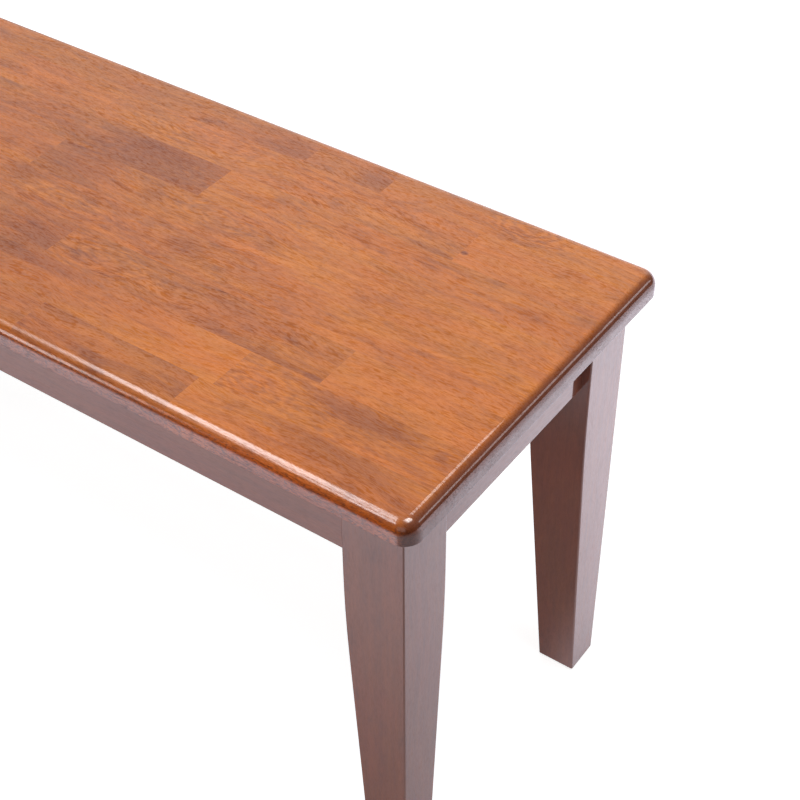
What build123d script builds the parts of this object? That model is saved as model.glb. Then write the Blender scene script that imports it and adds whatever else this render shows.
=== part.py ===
from build123d import *
import os
from math import sqrt

# Backless dining bench. X runs along the seat, Y from front to back, Z up.
# The origin is on the floor, under the middle of the seat. Millimetres.

# Seat
seat_length = 990.0
seat_depth = 354.0
bench_height = 457.0
seat_thickness = 20.5
seat_top_radius = 11.5
seat_corner_radius = 15.5
seat_under_radius = 1.2
seat_edge_trim = 3.0

# The seat's long edges are planed off by the edge trim, so the outer rows are narrower.
# Butt joints of each row of staves, from the front row to the back, as shares of the length from the left end
stave_joint_shares = (
    (0.330, 0.620, 0.779),
    (0.220, 0.515, 0.792),
    (0.270, 0.572, 0.857),
    (0.130, 0.434),
    (0.200, 0.469, 0.771),
    (0.300, 0.623),
    (0.170, 0.460, 0.853),
    (0.360, 0.666, 0.749),
)

# Legs
leg_setback = 18.5
leg_width = 55.0
leg_edge_radius = 1.5
foot_width = 37.0
foot_chamfer = 2.5
knee_height = 311.0
knee_radius = 1600.0

# Aprons
apron_height = 67.0
apron_thickness = 20.0
apron_edge_radius = 1.0
front_apron_inset = 9.5
end_apron_inset = 8.0

# Corner blocks
block_thickness = 25.0
block_height = 58.0
block_draw_gap = 0.5
pad_cut = 12.0
pad_overrun = 4.0
tongue_width = 5.0
tongue_depth = 5.0
tongue_setback = 9.0
tongue_clearance = 0.2

# Hanger bolts
bolt_radius = 4.0
bolt_point = 3.0
bolt_grip = 36.0
bolt_end = 3.0
bolt_spacing = 30.0
bolt_clearance = 0.5
washer_radius = 9.0
washer_thickness = 1.6
nut_flats = 13.0
nut_height = 6.5
nut_edge_cut = 0.8
thread_clearance = 0.1

# Screws
screw_radius = 2.0
screw_head_radius = 4.0
screw_head_height = 2.6
screw_point = 4.0
screw_clearance = 0.15
counterbore_radius = 4.8
block_screw_seat = 13.0
block_screw_bite = 14.0
block_screw_setback = 12.0
seat_screw_bite = 13.0
pocket_angle = 15.0
pocket_seat = 22.0
pocket_length = 38.0
long_pocket_shares = (0.14, 0.38, 0.62, 0.86)
short_pocket_shares = (0.35, 0.65)

# Cross rail
rail_width = 45.0
rail_thickness = 20.0
rail_housing = 6.0
rail_clearance = 0.15
rail_edge_radius = 1.5
rail_screw_shares = (0.2, 0.4, 0.6, 0.8)

# One overrun for every cutter that has to break through a face
overrun = 6.0

# Derived places
stave_width = (seat_depth + 2 * seat_edge_trim) / len(stave_joint_shares)
leg_height = bench_height - seat_thickness
apron_bottom = leg_height - apron_height
corner_x = seat_length / 2 - leg_setback
corner_y = seat_depth / 2 - leg_setback
front_inner = front_apron_inset + apron_thickness
end_inner = end_apron_inset + apron_thickness
long_span = 2 * (corner_x - leg_width)
short_span = 2 * (corner_y - leg_width)
pad_distance = (2 * leg_width - pad_cut) / sqrt(2)
block_front = pad_distance + block_draw_gap
block_back = block_front + block_thickness
block_middle = leg_height - block_height / 2


def rod(plane, radius, length):
    return extrude(plane * Circle(radius), amount=length)


def corner_plane(distance, height):
    # Square to the corner's diagonal, facing the middle of the bench
    away = distance / sqrt(2)
    return Plane(origin=(away, away, height), x_dir=(-1, 1, 0), z_dir=(1, 1, 0))


def bolt_heights():
    return (block_middle - bolt_spacing / 2, block_middle + bolt_spacing / 2)


def save(name, shape):
    shape.label = name
    export_step(shape, f"parts/{name}.step")


# Corner pieces are drawn with the leg's outer corner at the origin, X and Y pointing inwards
def place(shape):
    return shape.moved(Location((-corner_x, -corner_y, 0)))


def at_corner(shape, side, end):
    placed = place(shape)
    if side == "right":
        placed = mirror(placed, about=Plane.YZ)
    if end == "back":
        placed = mirror(placed, about=Plane.XZ)
    return placed


def corners():
    return [(end, side) for end in ("front", "back") for side in ("left", "right")]


def everywhere(shapes):
    return [at_corner(shape, side, end) for end, side in corners() for shape in shapes]


# Leg: two tapered profiles crossed, so both inner faces taper and both outer faces stay plumb
def leg_profile():
    outline = Polyline(
        (0, 0), (foot_width, 0), (leg_width, knee_height), (leg_width, leg_height), (0, leg_height), close=True
    )
    face = make_face(outline)
    knee = face.vertices().sort_by_distance((leg_width, knee_height, 0))[0]
    return fillet(knee, knee_radius)


def leg_pad():
    # Stopped flat on the inner corner, where the bolts pull the leg against its block
    bottom = leg_height - block_height - pad_overrun
    plane = corner_plane(pad_distance, (bottom + leg_height + overrun) / 2)
    height = leg_height + overrun - bottom
    return extrude(plane * Rectangle(leg_width, height), amount=leg_width)


def bolt_hole(height):
    start = corner_plane(pad_distance - bolt_grip - screw_clearance, height)
    return rod(start, bolt_radius + thread_clearance, bolt_grip + leg_width)


def make_leg():
    profile = leg_profile()
    across = extrude(Plane.XZ * profile, amount=-leg_width)
    along = extrude(Plane.YZ * profile, amount=leg_width)
    leg = across & along
    leg = chamfer(leg.faces().sort_by(Axis.Z)[0].edges(), foot_chamfer)
    leg = fillet([edge for edge in leg.edges() if is_corner_edge(edge)], leg_edge_radius)
    leg = leg - leg_pad()
    for height in bolt_heights():
        leg = leg - bolt_hole(height)
    return leg


def is_corner_edge(edge):
    # The upright edges, and not those that run level round the knee
    span = edge.bounding_box().size
    return span.Z > span.X and span.Z > span.Y


# Corner block: a brace across the corner, with a tongue at each end let into the aprons
def tongue_box(start, face, clearance):
    # Tongue on the front apron: start along X, face along Y
    width = tongue_width + 2 * clearance
    depth = tongue_depth + clearance
    middle = (start + tongue_width / 2, face - depth / 2)
    return Pos(*middle) * Rectangle(width, depth)


def swapped(sketch):
    return mirror(sketch, about=Plane(origin=(0, 0, 0), x_dir=(0, 0, 1), z_dir=(1, -1, 0)))


def block_sums():
    return block_front * sqrt(2), block_back * sqrt(2)


def tongues(clearance):
    near, far = block_sums()
    front = tongue_box(far - front_inner - tongue_setback - tongue_width, front_inner, clearance)
    end = tongue_box(far - end_inner - tongue_setback - tongue_width, end_inner, clearance)
    return front, swapped(end)


def block_outline():
    near, far = block_sums()
    return make_face(
        Polyline(
            (near - front_inner, front_inner),
            (far - front_inner, front_inner),
            (end_inner, far - end_inner),
            (end_inner, near - end_inner),
            close=True,
        )
    )


def block_screw_planes():
    # Each faces the way its screw is driven, with its origin where the screw meets the apron's inner face
    near, far = block_sums()
    to_front = near - front_inner + block_screw_setback
    to_end = near - end_inner + block_screw_setback
    front = Plane(origin=(to_front, front_inner, block_middle), x_dir=(1, 0, 0), z_dir=(0, -1, 0))
    end = Plane(origin=(end_inner, to_end, block_middle), x_dir=(0, 1, 0), z_dir=(-1, 0, 0))
    return front, end


def screw(seat_plane, length):
    # Pan-headed wood screw; the plane is where its head seats, facing the point
    head = extrude(seat_plane * Circle(screw_head_radius), amount=-screw_head_height)
    head = chamfer(head.edges().sort_by_distance(seat_plane.origin)[-1], screw_head_height / 3)
    shank = rod(seat_plane, screw_radius, length - screw_point)
    tip_plane = seat_plane.offset(length - screw_point)
    tip = loft([tip_plane * Circle(screw_radius), tip_plane.offset(screw_point) * Circle(screw_radius / 5)])
    return head + shank + tip


def screw_hole(seat_plane, length):
    return rod(seat_plane, screw_radius + screw_clearance, length + screw_clearance)


def counterbore(seat_plane, length):
    return extrude(seat_plane * Circle(counterbore_radius), amount=-length)


def block_screw_length():
    return block_screw_seat + block_screw_bite


def make_block():
    front, end = tongues(0)
    sketch = block_outline() + front + end
    block = Pos(0, 0, leg_height - block_height) * extrude(sketch, amount=block_height)
    for height in bolt_heights():
        block = block - rod(corner_plane(pad_distance, height), bolt_radius + bolt_clearance, block_thickness * 2)
    for plane in block_screw_planes():
        seat_plane = plane.offset(-block_screw_seat)
        block = block - screw_hole(seat_plane, block_screw_length())
        block = block - counterbore(seat_plane, block_thickness * 2)
    return block


def make_block_screws():
    return [screw(plane.offset(-block_screw_seat), block_screw_length()) for plane in block_screw_planes()]


# Cutters that the aprons take from each corner
def apron_cuts():
    front, end = tongues(tongue_clearance)
    bottom = apron_bottom - overrun
    kerfs = [Pos(0, 0, bottom) * extrude(slot, amount=apron_height + 2 * overrun) for slot in (front, end)]
    holes = [screw_hole(plane, block_screw_bite) for plane in block_screw_planes()]
    return kerfs + holes


# Hanger bolts, washers and nuts
def bolt_length():
    return bolt_grip + block_draw_gap + block_thickness + washer_thickness + nut_height + bolt_end


def make_bolt(height):
    start = corner_plane(pad_distance - bolt_grip, height)
    tip = loft([start * Circle(bolt_radius / 2), start.offset(bolt_point) * Circle(bolt_radius)])
    shank = rod(start.offset(bolt_point), bolt_radius, bolt_length() - bolt_point)
    bolt = tip + shank
    end_face = bolt.faces().sort_by_distance(start.offset(bolt_length()).origin)[0]
    return chamfer(end_face.edges(), bolt_end / 4)


def make_washer(height):
    plane = corner_plane(block_back, height)
    ring = Circle(washer_radius) - Circle(bolt_radius + thread_clearance)
    return extrude(plane * ring, amount=washer_thickness)


def make_nut(height):
    plane = corner_plane(block_back + washer_thickness, height)
    blank = extrude(plane * RegularPolygon(nut_flats / 2, 6, major_radius=False), amount=nut_height)
    across = nut_flats / sqrt(3)
    cone = loft(
        [
            plane * Circle(across + nut_height - nut_edge_cut),
            plane.offset(nut_height) * Circle(across - nut_edge_cut),
        ]
    )
    return (blank & cone) - rod(plane, bolt_radius + thread_clearance, nut_height)


# Pocket screws that hold the seat to the aprons
def pocket_plane(along, inner, outwards):
    # Where the screw's head seats, facing up and out; outwards is the unit direction from the inner face
    tilt = Vector(0, 0, 1).rotate(Axis.Y, pocket_angle)
    up = Vector(outwards.X * tilt.X, outwards.Y * tilt.X, tilt.Z)
    top = Vector(*along, leg_height) + outwards * (inner + apron_thickness / 2)
    return Plane(origin=top - up * pocket_seat, z_dir=up)


def pocket_planes():
    planes = []
    for share in long_pocket_shares:
        x = (share - 0.5) * long_span
        planes.append(pocket_plane((x, 0), corner_y - front_inner, Vector(0, -1, 0)))
        planes.append(pocket_plane((x, 0), corner_y - front_inner, Vector(0, 1, 0)))
    for share in short_pocket_shares:
        y = (share - 0.5) * short_span
        planes.append(pocket_plane((0, y), corner_x - end_inner, Vector(-1, 0, 0)))
        planes.append(pocket_plane((0, y), corner_x - end_inner, Vector(1, 0, 0)))
    return planes


def pocket_screw_length():
    return pocket_seat + seat_screw_bite


def pocket_cuts():
    cuts = [counterbore(plane, pocket_length) for plane in pocket_planes()]
    return cuts + [screw_hole(plane, pocket_screw_length()) for plane in pocket_planes()]


# Cross rail under the middle of the seat
def rail_box(clearance):
    length = 2 * (corner_y - front_inner + rail_housing + clearance)
    depth = rail_thickness + 2 * clearance
    middle = leg_height - rail_thickness / 2
    return Pos(0, 0, middle) * Box(rail_width + 2 * clearance, length, depth)


def rail_screw_planes():
    span = 2 * (corner_y - front_inner)
    bottom = leg_height - rail_thickness + screw_head_height
    return [Plane(origin=(0, (share - 0.5) * span, bottom), z_dir=(0, 0, 1)) for share in rail_screw_shares]


def rail_screw_length():
    return rail_thickness - screw_head_height + seat_screw_bite


def make_rail():
    rail = rail_box(0)
    low = rail.edges().filter_by(Axis.Y).group_by(Axis.Z)[0]
    rail = fillet(low, rail_edge_radius)
    for plane in rail_screw_planes():
        rail = rail - screw_hole(plane, rail_screw_length())
        rail = rail - counterbore(plane, rail_thickness)
    return rail


# Aprons
def make_long_apron(end):
    sign = -1 if end == "front" else 1
    middle = corner_y - front_apron_inset - apron_thickness / 2
    apron = Pos(0, sign * middle, apron_bottom + apron_height / 2) * Box(long_span, apron_thickness, apron_height)
    low = apron.edges().filter_by(Axis.X).group_by(Axis.Z)[0]
    apron = fillet(low, apron_edge_radius)
    return apron - rail_box(rail_clearance)


def make_short_apron(side):
    sign = -1 if side == "left" else 1
    middle = corner_x - end_apron_inset - apron_thickness / 2
    apron = Pos(sign * middle, 0, apron_bottom + apron_height / 2) * Box(apron_thickness, short_span, apron_height)
    low = apron.edges().filter_by(Axis.Y).group_by(Axis.Z)[0]
    return fillet(low, apron_edge_radius)


def touches(first, second):
    a, b = first.bounding_box(), second.bounding_box()
    low = (a.min.X < b.max.X, a.min.Y < b.max.Y, a.min.Z < b.max.Z)
    high = (a.max.X > b.min.X, a.max.Y > b.min.Y, a.max.Z > b.min.Z)
    return all(low) and all(high)


def drilled(shape, cuts):
    for cut in cuts:
        if touches(shape, cut):
            shape = shape - cut
    return shape


# Seat: one profiled panel, cut along its glue lines into staves
def seat_panel():
    middle = bench_height - seat_thickness / 2
    panel = Pos(0, 0, middle) * Box(seat_length, seat_depth, seat_thickness)
    panel = fillet(panel.edges().filter_by(Axis.Z), seat_corner_radius)
    panel = fillet(panel.faces().sort_by(Axis.Z)[-1].edges(), seat_top_radius)
    return fillet(panel.faces().sort_by(Axis.Z)[0].edges(), seat_under_radius)


def row_edges():
    rows = len(stave_joint_shares)
    inner = [(row - rows / 2) * stave_width for row in range(1, rows)]
    return [-seat_depth / 2] + inner + [seat_depth / 2]


def make_staves():
    panel = seat_panel()
    edges = row_edges()
    cuts = [screw_hole(plane, pocket_screw_length()) for plane in pocket_planes()]
    cuts += [screw_hole(plane, rail_screw_length()) for plane in rail_screw_planes()]
    staves = {}
    for row, shares in enumerate(stave_joint_shares):
        ends = (0.0,) + shares + (1.0,)
        depth = edges[row + 1] - edges[row]
        for number in range(len(ends) - 1):
            start = (ends[number] - 0.5) * seat_length
            length = (ends[number + 1] - ends[number]) * seat_length
            place_x = start + length / 2
            place_y = (edges[row] + edges[row + 1]) / 2
            blank = Pos(place_x, place_y, bench_height) * Box(length, depth, 2 * bench_height)
            stave = drilled(panel & blank, cuts)
            staves[f"seat_row_{row + 1}_stave_{number + 1}"] = stave
    return staves


def save_group(name, solids):
    save(name, Compound(children=list(solids)))


os.makedirs("parts", exist_ok=True)

for name, stave in make_staves().items():
    save(name, stave)

leg = make_leg()
block = make_block()
for end, side in corners():
    save(f"{end}_{side}_leg", at_corner(leg, side, end))
    save(f"{end}_{side}_corner_block", at_corner(block, side, end))

cuts = everywhere(apron_cuts()) + pocket_cuts()
for end in ("front", "back"):
    save(f"{end}_apron", drilled(make_long_apron(end), cuts))
for side in ("left", "right"):
    save(f"{side}_apron", drilled(make_short_apron(side), cuts))

save("cross_rail", make_rail())
save_group("hanger_bolts", everywhere([make_bolt(height) for height in bolt_heights()]))
save_group("bolt_washers", everywhere([make_washer(height) for height in bolt_heights()]))
save_group("bolt_nuts", everywhere([make_nut(height) for height in bolt_heights()]))
save_group("block_screws", everywhere(make_block_screws()))
save_group("seat_pocket_screws", [screw(plane, pocket_screw_length()) for plane in pocket_planes()])
save_group("rail_screws", [screw(plane, rail_screw_length()) for plane in rail_screw_planes()])
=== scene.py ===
"""Backless dining bench: smooth staves and legs, wood finishes, fasteners, stage and camera round the fixed frame."""

import math
import random

import bpy
from bpy.props import FloatProperty, FloatVectorProperty, PointerProperty
from mathutils import Matrix, Vector


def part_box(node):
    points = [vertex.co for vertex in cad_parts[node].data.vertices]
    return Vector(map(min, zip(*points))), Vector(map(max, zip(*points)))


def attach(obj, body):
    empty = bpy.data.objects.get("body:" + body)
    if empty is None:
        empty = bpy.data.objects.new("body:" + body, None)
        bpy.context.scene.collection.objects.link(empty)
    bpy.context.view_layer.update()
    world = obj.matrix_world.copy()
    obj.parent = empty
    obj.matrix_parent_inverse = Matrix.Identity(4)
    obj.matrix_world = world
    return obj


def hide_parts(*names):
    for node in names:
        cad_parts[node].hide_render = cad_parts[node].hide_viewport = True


bl_info = {
    "name": "Backless dining bench",
    "version": (1, 0, 0),
    "blender": (4, 5, 0),
    "location": "3D View > Sidebar > Bench",
    "description": "Models and finishes a backless wooden dining bench",
    "category": "Object",
}

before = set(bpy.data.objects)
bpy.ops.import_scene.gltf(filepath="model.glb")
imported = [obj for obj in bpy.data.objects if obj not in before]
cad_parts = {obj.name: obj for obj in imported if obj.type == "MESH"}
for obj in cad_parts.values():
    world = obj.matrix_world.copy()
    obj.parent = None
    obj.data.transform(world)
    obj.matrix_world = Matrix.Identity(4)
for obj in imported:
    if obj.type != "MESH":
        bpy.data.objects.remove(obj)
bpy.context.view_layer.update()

MM = 0.001
BODY = "root"
SEAT_SLOT, FRAME_SLOT, STEEL_SLOT = "seat_wood", "frame_wood", "fastener_steel"
CORNERS = [(end, side) for end in ("front", "back") for side in ("left", "right")]


# Selecting and editing


def deselect():
    bpy.ops.object.select_all(action="DESELECT")


def only(obj):
    """Selects this object alone and makes it active."""
    deselect()
    obj.select_set(True)
    bpy.context.view_layer.objects.active = obj


def edit(obj, kind, choice="DESELECT"):
    """Enters edit mode with nothing selected, or with all for SELECT; kind is VERT, EDGE or FACE."""
    only(obj)
    bpy.ops.object.mode_set(mode="EDIT")
    bpy.ops.mesh.select_mode(type=kind)
    bpy.ops.mesh.select_all(action=choice)


def leave_edit():
    bpy.ops.object.mode_set(mode="OBJECT")


def close_shell():
    """Turns every face outwards and leaves edit mode."""
    bpy.ops.mesh.select_all(action="SELECT")
    bpy.ops.mesh.normals_make_consistent(inside=False)
    leave_edit()


def near(first, second):
    return abs(first - second) < 0.01 * MM


def bevel_edges(obj, test, radius, segments):
    """Bevels the edges whose two ends pass the test."""
    edit(obj, "EDGE")
    leave_edit()
    places = [vertex.co.copy() for vertex in obj.data.vertices]
    for edge in obj.data.edges:
        start, end = (places[index] for index in edge.vertices)
        edge.select = test(start, end)
    bpy.ops.object.mode_set(mode="EDIT")
    bpy.ops.mesh.bevel(offset=radius, segments=segments, affect="EDGES")
    leave_edit()


def grow(rise, level, share, x=0.0, y=0.0):
    """Extrudes the selected face up to a level, and widens it there by a share about x and y."""
    bpy.ops.mesh.extrude_region_move(TRANSFORM_OT_translate={"value": (0, 0, rise)})
    bpy.ops.transform.resize(value=(share, share, 1), center_override=(x, y, level))


def place_in_mesh():
    bpy.ops.object.transform_apply(location=True, rotation=True, scale=True)


def primitive(operator, name, scale=(1, 1, 1), **settings):
    """Adds a primitive by its operator, with its place, turn and scale put into its mesh."""
    deselect()
    operator(**settings)
    obj = bpy.context.object
    obj.name = obj.data.name = name
    obj.scale = scale
    place_in_mesh()
    return obj


def box_between(name, low, high):
    """A box with its two corners at low and high."""
    return primitive(bpy.ops.mesh.primitive_cube_add, name, high - low, size=1, location=(low + high) / 2)


def apply_modifier(obj, kind, **settings):
    """Adds a modifier with these settings and applies it."""
    only(obj)
    bpy.ops.object.modifier_add(type=kind)
    for key, value in settings.items():
        setattr(obj.modifiers[-1], key, value)
    bpy.ops.object.modifier_apply(modifier=obj.modifiers[-1].name)


def cut_away(obj, cutter):
    """Takes the cutter's shape out of a piece and removes the cutter."""
    apply_modifier(obj, "BOOLEAN", operation="DIFFERENCE", object=cutter)
    bpy.data.objects.remove(cutter)


def smooth(obj, angle=math.radians(25)):
    """Smooth shading that leaves the flat faces flat."""
    only(obj)
    bpy.ops.object.shade_smooth_by_angle(angle=angle)
    apply_modifier(obj, "WEIGHTED_NORMAL", keep_sharp=True)


def mark_edges(obj, wear_and_highlight):
    """Keeps on each vertex how much wear and painted highlight its edge gets, from 0 to 1, for the finish to read."""
    layer = obj.data.attributes.new("edge_wear", "FLOAT", "POINT")
    for vertex, value in zip(obj.data.vertices, layer.data):
        value.value = wear_and_highlight(vertex.co)


def own_copy(obj, name):
    made = obj.copy()
    made.data = obj.data.copy()
    made.name = made.data.name = name
    bpy.context.scene.collection.objects.link(made)
    return made


def finish(obj, *materials):
    obj.data.materials.clear()
    for material in materials:
        obj.data.materials.append(material)


def fit_in(obj, slot, nodes, *materials):
    """Gives a finished piece its materials and its body, and hides the nodes that it stands for."""
    finish(obj, *materials)
    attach(obj, BODY)
    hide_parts(*nodes)


# Node trees


def add(tree, kind, **settings):
    """Adds a node; settings are its properties."""
    made = tree.nodes.new(kind)
    for key, value in settings.items():
        setattr(made, key, value)
    return made


def is_socket(value):
    return isinstance(value, bpy.types.NodeSocket)


def add_beside(values, kind, **settings):
    """Adds a node to the tree of the sockets among these values."""
    return add(next(value for value in values if is_socket(value)).id_data, kind, **settings)


def feed(socket, value):
    """Sets a socket to a value, or links it to another socket."""
    if is_socket(value):
        socket.id_data.links.new(value, socket)
    else:
        socket.default_value = value


def feed_all(node, values):
    """Feeds a node's inputs by their names."""
    for key, value in values.items():
        feed(node.inputs[key], value)


def maths(operation, first, second=None, third=None, clamp=False):
    values = (first, second, third)
    made = add_beside(values, "ShaderNodeMath", operation=operation, use_clamp=clamp)
    for socket, value in zip(made.inputs, values):
        if value is not None:
            feed(socket, value)
    return made.outputs[0]


def times(first, second):
    return maths("MULTIPLY", first, second)


def times_plus(first, second, third, clamp=False):
    """First times second, plus third."""
    return maths("MULTIPLY_ADD", first, second, third, clamp)


def plus(first, second):
    return maths("ADD", first, second)


def minus(first, second):
    return maths("SUBTRACT", first, second)


def vector_maths(operation, first, second=None):
    made = add_beside((first, second), "ShaderNodeVectorMath", operation=operation)
    feed(made.inputs[0], first)
    if second is not None:
        feed(made.inputs[1], second)
    return made.outputs["Value"] if operation in ("LENGTH", "DOT_PRODUCT") else made.outputs["Vector"]


def combine(x=0.0, y=0.0, z=0.0):
    made = add_beside((x, y, z), "ShaderNodeCombineXYZ")
    feed_all(made, {"X": x, "Y": y, "Z": z})
    return made.outputs[0]


def separate(vector):
    made = add_beside([vector], "ShaderNodeSeparateXYZ")
    feed(made.inputs[0], vector)
    return made.outputs


def band(value, low, high, to_low=0.0, to_high=1.0):
    """A smooth step of value from low to high."""
    made = add_beside([value], "ShaderNodeMapRange", interpolation_type="SMOOTHSTEP")
    feed_all(made, {"Value": value, "From Min": low, "From Max": high, "To Min": to_low, "To Max": to_high})
    return made.outputs["Result"]


def blend_colours(share, first, second, kind="MIX"):
    made = add_beside((share, first, second), "ShaderNodeMix", data_type="RGBA", blend_type=kind)
    for socket, value in (("Factor", share), (6, first), (7, second)):
        feed(made.inputs[socket], value)
    return made.outputs[2]


def noise(vector, packing, detail, roughness):
    """Noise whose features are packed closer along an axis by a larger number."""
    made = add_beside([vector], "ShaderNodeTexNoise")
    packed = vector_maths("MULTIPLY", vector, packing)
    feed_all(made, {"Vector": packed, "Scale": 1.0, "Detail": detail, "Roughness": roughness})
    return made.outputs["Fac"]


def turned_to(vector, turn, packing=(1.0, 1.0, 1.0)):
    made = add_beside([vector], "ShaderNodeMapping")
    feed_all(made, {"Vector": vector, "Rotation": turn, "Scale": packing})
    return made.outputs[0]


def new_group(name, takes, gives):
    """A shader node group with named inputs and outputs: (name, socket type, default)."""
    tree = bpy.data.node_groups.new(name, "ShaderNodeTree")
    for label, kind, default in takes:
        socket = tree.interface.new_socket(name=label, in_out="INPUT", socket_type=kind)
        if default is not None:
            socket.default_value = default
    for label, kind in gives:
        tree.interface.new_socket(name=label, in_out="OUTPUT", socket_type=kind)
    start = add(tree, "NodeGroupInput")
    end = add(tree, "NodeGroupOutput")
    return start.outputs, end.inputs


def use_group(tree, name, **values):
    """Places a shared group; an underscore in a value's name stands for a space in the input's."""
    made = add(tree, "ShaderNodeGroup", node_tree=bpy.data.node_groups[name])
    feed_all(made, {key.replace("_", " "): value for key, value in values.items()})
    return made.outputs


FLOAT, VECTOR, COLOUR = "NodeSocketFloat", "NodeSocketVector", "NodeSocketColor"
GRAIN = ("Figure", "Streak", "Smudge", "Fleck", "Pores", "Fibre", "Hue", "Speck")


def make_grain_group():
    """Grain of rubberwood, which runs along X: fine figure, streaks, smudges, slanting fleck, short pores and fibre."""
    takes = [("Vector", VECTOR, None), ("Seed", FLOAT, 0.0), ("Figure Width", FLOAT, 1.0), ("Warp", FLOAT, 1.0)]
    given, out = new_group("wood_grain", takes, [(name, FLOAT) for name in GRAIN])
    shift = combine(*(times(given["Seed"], share) for share in (1.37, 0.61, 0.29)))
    straight = vector_maths("ADD", given["Vector"], shift)

    # The fibres wander a little to each side, so no line is quite straight
    wander = noise(straight, (5.5, 15.0, 15.0), 2.0, 0.5)
    aside = times(minus(wander, 0.5), times(given["Warp"], 0.035))
    place = vector_maths("ADD", straight, combine(y=aside))

    def spread(name, vector, packing, detail, roughness, low, high):
        feed(out[name], band(noise(vector, packing, detail, roughness), low, high))

    # Growth lines a few millimetres apart
    across = times(given["Figure Width"], 210.0)
    spread("Figure", place, combine(4.0, across, across), 2.0, 0.6, 0.32, 0.68)

    # Streaks a finger long, soft smudges where the stain went in deeper, and fleck slantwise across the grain
    spread("Streak", place, (14.0, 120.0, 120.0), 3.0, 0.62, 0.33, 0.67)
    spread("Smudge", place, (24.0, 62.0, 62.0), 4.0, 0.66, 0.49, 0.72)
    spread("Hue", straight, (9.0, 26.0, 26.0), 3.0, 0.55, 0.36, 0.64)
    slant = turned_to(straight, (0.0, 0.0, math.radians(-38)), (75.0, 330.0, 200.0))
    spread("Fleck", slant, (1.0, 1.0, 1.0), 2.0, 0.55, 0.34, 0.68)
    spread("Fibre", place, (60.0, 620.0, 620.0), 3.0, 0.65, 0.30, 0.70)
    spread("Speck", straight, (330.0, 620.0, 620.0), 2.0, 0.6, 0.52, 0.64)

    # Pores: short thin dashes, thicker on the ground in some places than in others
    dash = noise(place, (130.0, 1050.0, 1050.0), 1.0, 0.5)
    gate = band(noise(place, (20.0, 60.0, 60.0), 2.0, 0.5), 0.30, 0.70, 0.60, 0.50)
    large = band(minus(dash, gate), 0.0, 0.10)
    fine = noise(place, (220.0, 1800.0, 1800.0), 1.0, 0.5)
    feed(out["Pores"], maths("MAXIMUM", large, band(fine, 0.46, 0.68, 0.0, 0.75)))


# What a mark and a curl are given: their place, how far they reach, and how strong they are
SPOT = [("Vector", VECTOR, None), ("Centre", VECTOR, None), ("Reach", VECTOR, None), ("Strength", FLOAT, 1.0)]


def from_centre(given):
    """Distance from a spot's centre, which is 1 at its reach."""
    offset = vector_maths("SUBTRACT", given["Vector"], given["Centre"])
    return vector_maths("LENGTH", vector_maths("DIVIDE", offset, given["Reach"]))


def make_mark_group():
    """A dark knot, patch or mineral streak: a ragged ellipse at a place in the wood."""
    given, out = new_group("wood_mark", SPOT, [("Mark", FLOAT)])
    ragged = noise(given["Vector"], (60.0, 240.0, 240.0), 6.0, 0.74)
    distance = times_plus(minus(ragged, 0.5), 1.9, from_centre(given))
    feed(out["Mark"], times(band(distance, 1.15, 0.35), given["Strength"]))


def make_curl_group():
    """Curved growth lines that loop round a place in the wood, as where the saw met a swelling."""
    given, out = new_group("wood_curl", SPOT, [("Curl", FLOAT)])
    drift = noise(given["Vector"], (16.0, 45.0, 45.0), 3.0, 0.6)
    distance = from_centre(given)
    lines = maths("SINE", times(times_plus(drift, 0.9, distance), 36.0))
    here = times(band(distance, 1.0, 0.3), given["Strength"])
    feed(out["Curl"], times(lines, here))


def make_faces_group():
    """How far a board's surface shows end grain, is a seat's edge, or rounds over along the fibres."""
    takes = [("Normal", VECTOR, None), ("Along", VECTOR, (1.0, 0.0, 0.0))]
    given, out = new_group("wood_faces", takes, [("End Grain", FLOAT), ("Edge", FLOAT), ("Round", FLOAT)])

    def facing(direction):
        return maths("ABSOLUTE", vector_maths("DOT_PRODUCT", given["Normal"], direction))

    aside = vector_maths("CROSS_PRODUCT", given["Along"], (0.0, 0.0, 1.0))
    feed(out["End Grain"], band(facing(given["Along"]), 0.05, 0.65, 0.0, 0.95))
    feed(out["Edge"], band(facing((0.0, 0.0, 1.0)), 0.88, 0.35))
    feed(out["Round"], band(facing(aside), 0.08, 0.26))


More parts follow.
